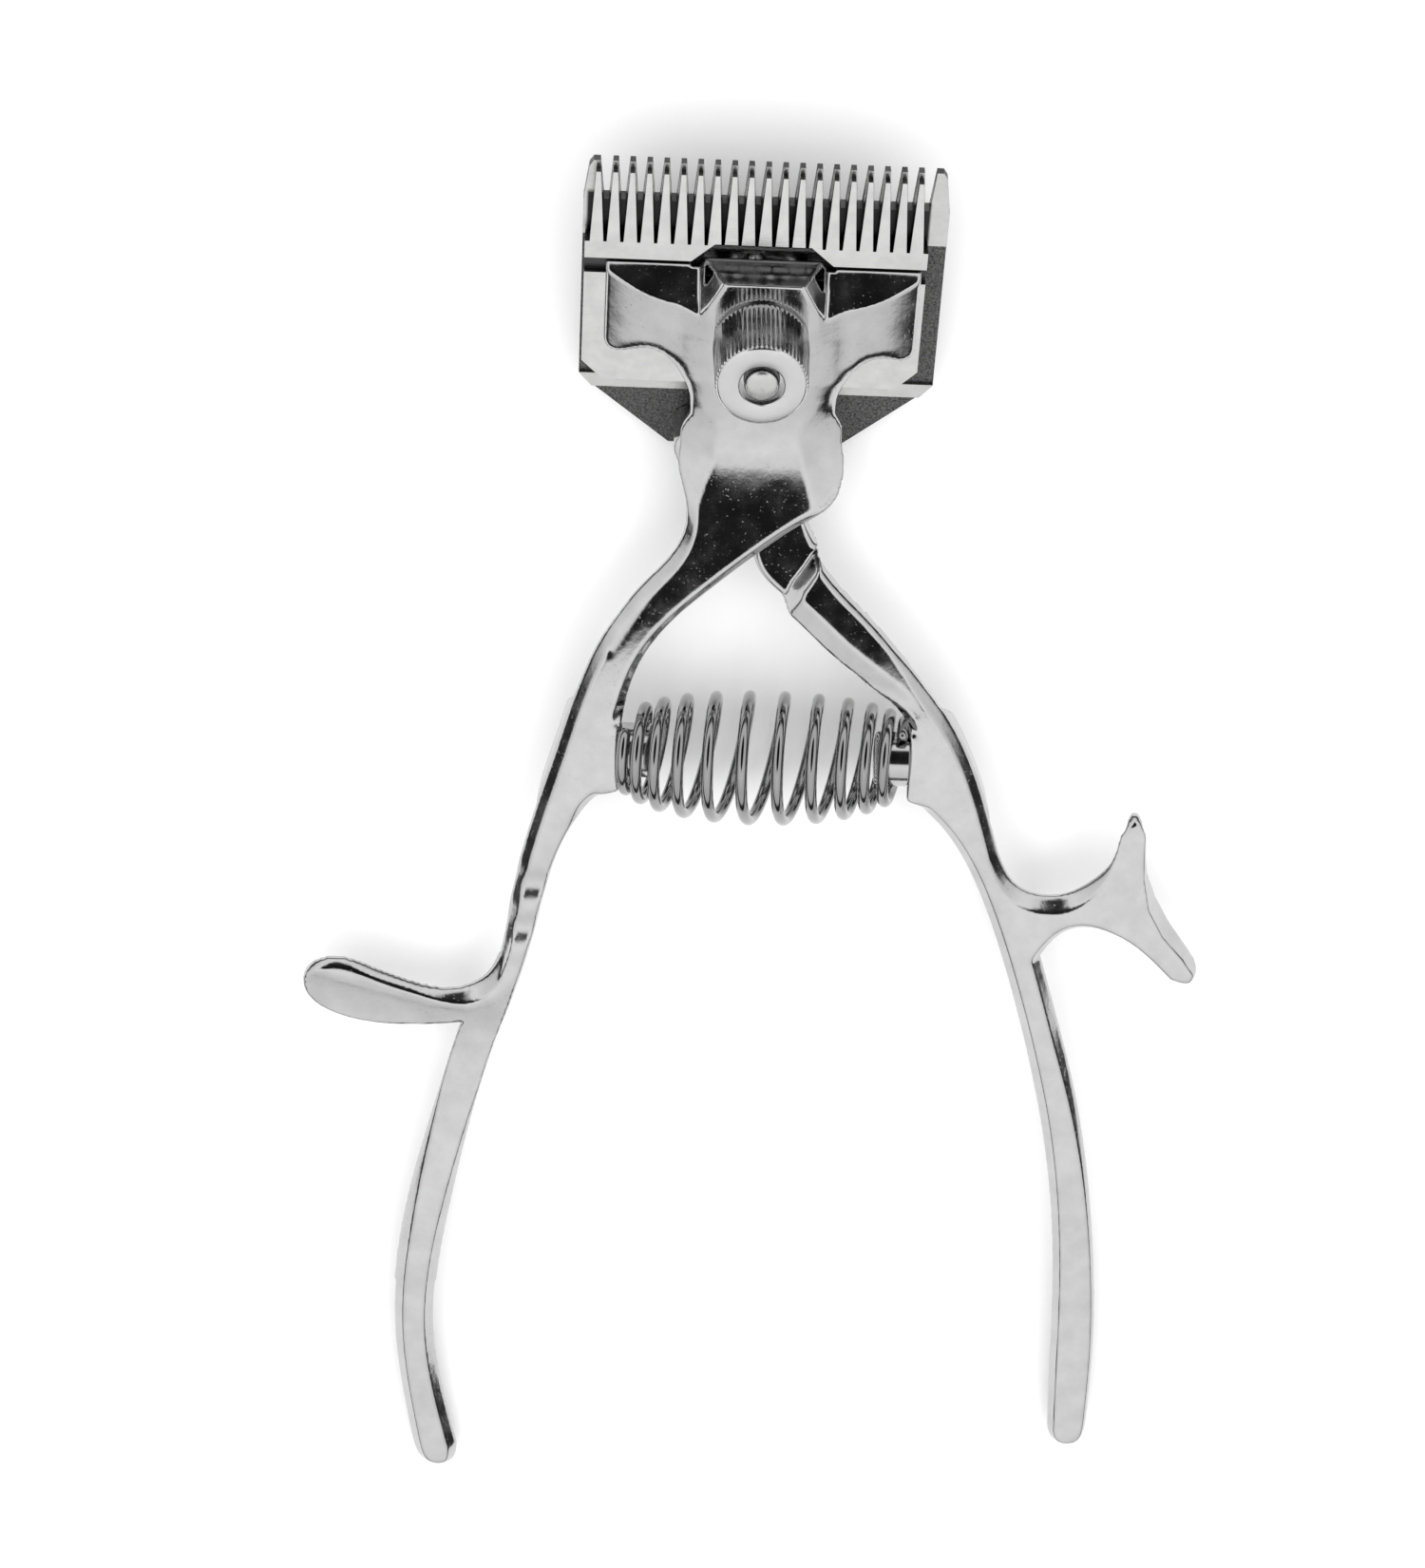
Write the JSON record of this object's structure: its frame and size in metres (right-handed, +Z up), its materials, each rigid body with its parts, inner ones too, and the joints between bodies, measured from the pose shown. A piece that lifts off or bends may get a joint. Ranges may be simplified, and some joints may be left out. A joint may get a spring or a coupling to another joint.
{
  "type": "manual hair clippers",
  "caption": "Manual lever hair clippers: toothed comb blade, sliding cutter under a T yoke, knurled thumb nut, crossed handles with barrel spring, thumb rest and finger hook",
  "frame": {"origin": "where the pivot axis meets the underside of the comb blade", "axes": "+X across the teeth to the finger hook's side, +Y from the handle ends to the teeth, +Z up from the surface that the clippers lie on; the blades are tipped up by 25.0 degrees about X"},
  "size_m": [0.1138, 0.1748, 0.0286],
  "materials": {
    "chrome": "polished chrome plate on forged steel",
    "nut_chrome": "chrome plate on turned steel",
    "comb_steel": "milled carbon steel, ground on the tooth land and the rear rail",
    "cutter_steel": "ground and polished carbon steel",
    "stud_steel": "turned steel",
    "spring_steel": "bright drawn spring wire"
  },
  "bodies": {
    "frame": {"upper_handle": "chrome", "comb_blade": "comb_steel", "comb_screws": "stud_steel", "pivot_stud": "stud_steel", "thrust_washer": "stud_steel", "tension_washer": "stud_steel", "tension_spring": "spring_steel", "left_spring_peg": "nut_chrome", "handle_spring": "spring_steel"},
    "lever": {"lower_handle": "chrome", "drive_pin": "stud_steel", "right_spring_peg": "nut_chrome"},
    "cutter": {"cutter_blade": "cutter_steel"},
    "nut": {"thumb_nut": "nut_chrome"}
  },
  "joints": [
    {"name": "handle_squeeze", "type": "hinge", "parent": "frame", "child": "lever", "pos_m": [0, 0, 0], "axis": [0, 0.4225, -0.9064], "range_deg": [0, 17.43], "stiffness_Nm_per_rad": 0.8, "deforming": ["handle_spring"]},
    {"name": "cutter_slide", "type": "slide", "parent": "frame", "child": "cutter", "axis": [1, 0, 0], "range_m": [0, 0.002]},
    {"name": "nut_turn", "type": "hinge", "parent": "frame", "child": "nut", "pos_m": [0, 0, 0], "axis": [0, -0.4225, 0.9064], "range_deg": [-180, 180]}
  ],
  "couplings": [
    {"joint": "cutter_slide", "follows": "handle_squeeze", "m_per_rad": 0.0065746}
  ]
}
